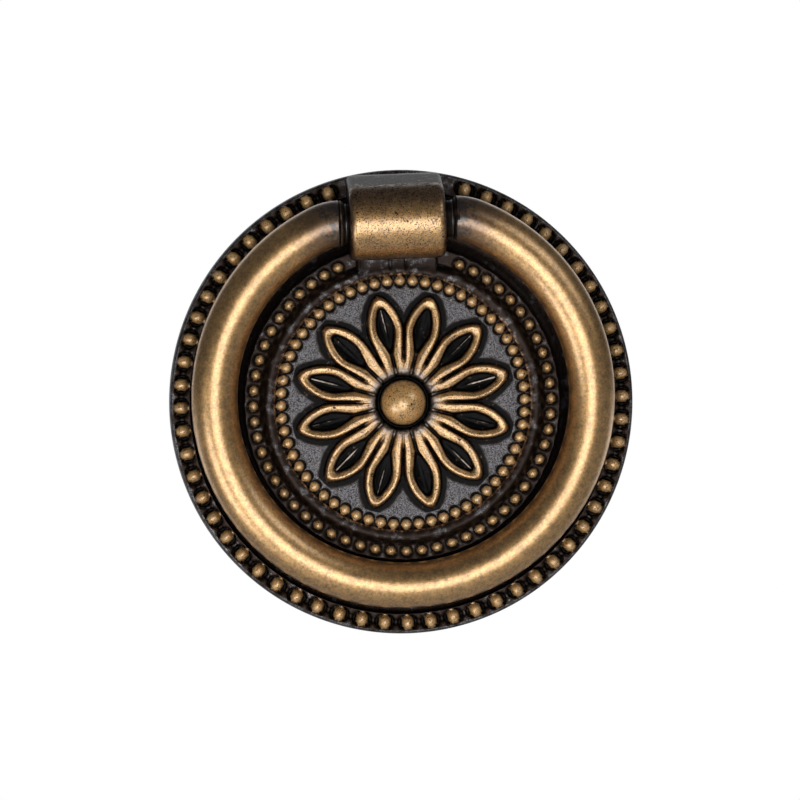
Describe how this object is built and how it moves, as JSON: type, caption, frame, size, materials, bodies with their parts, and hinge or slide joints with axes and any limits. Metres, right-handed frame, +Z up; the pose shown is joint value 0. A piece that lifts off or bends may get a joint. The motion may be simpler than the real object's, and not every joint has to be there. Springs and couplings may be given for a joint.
{
  "type": "ring pull handle",
  "caption": "Round beaded backplate with a petalled rosette and a hinge knuckle, carrying a hanging pull ring for opening a drawer or cabinet door.",
  "frame": {"origin": "centre of the backplate's back face, at the mouth of its tapped hole", "axes": "+Z up the drawer front, front faces -Y, +X to the right seen from the front"},
  "size_m": [0.06, 0.0132, 0.06],
  "materials": {
    "plate_antique_brass": "antique brass plating, rubbed bright on raised parts, dark patina in the recesses",
    "ring_antique_brass": "antique brass plating, satin, darker towards the hinge"
  },
  "bodies": {
    "plate_body": {"backplate": "plate_antique_brass"},
    "ring_body": {"ring": "ring_antique_brass"}
  },
  "joints": [
    {"name": "ring_swing", "type": "hinge", "parent": "plate_body", "child": "ring_body", "pos_m": [0, -0.0084, 0.02322], "axis": [-1, 0, 0], "range_deg": [0, 190]}
  ]
}
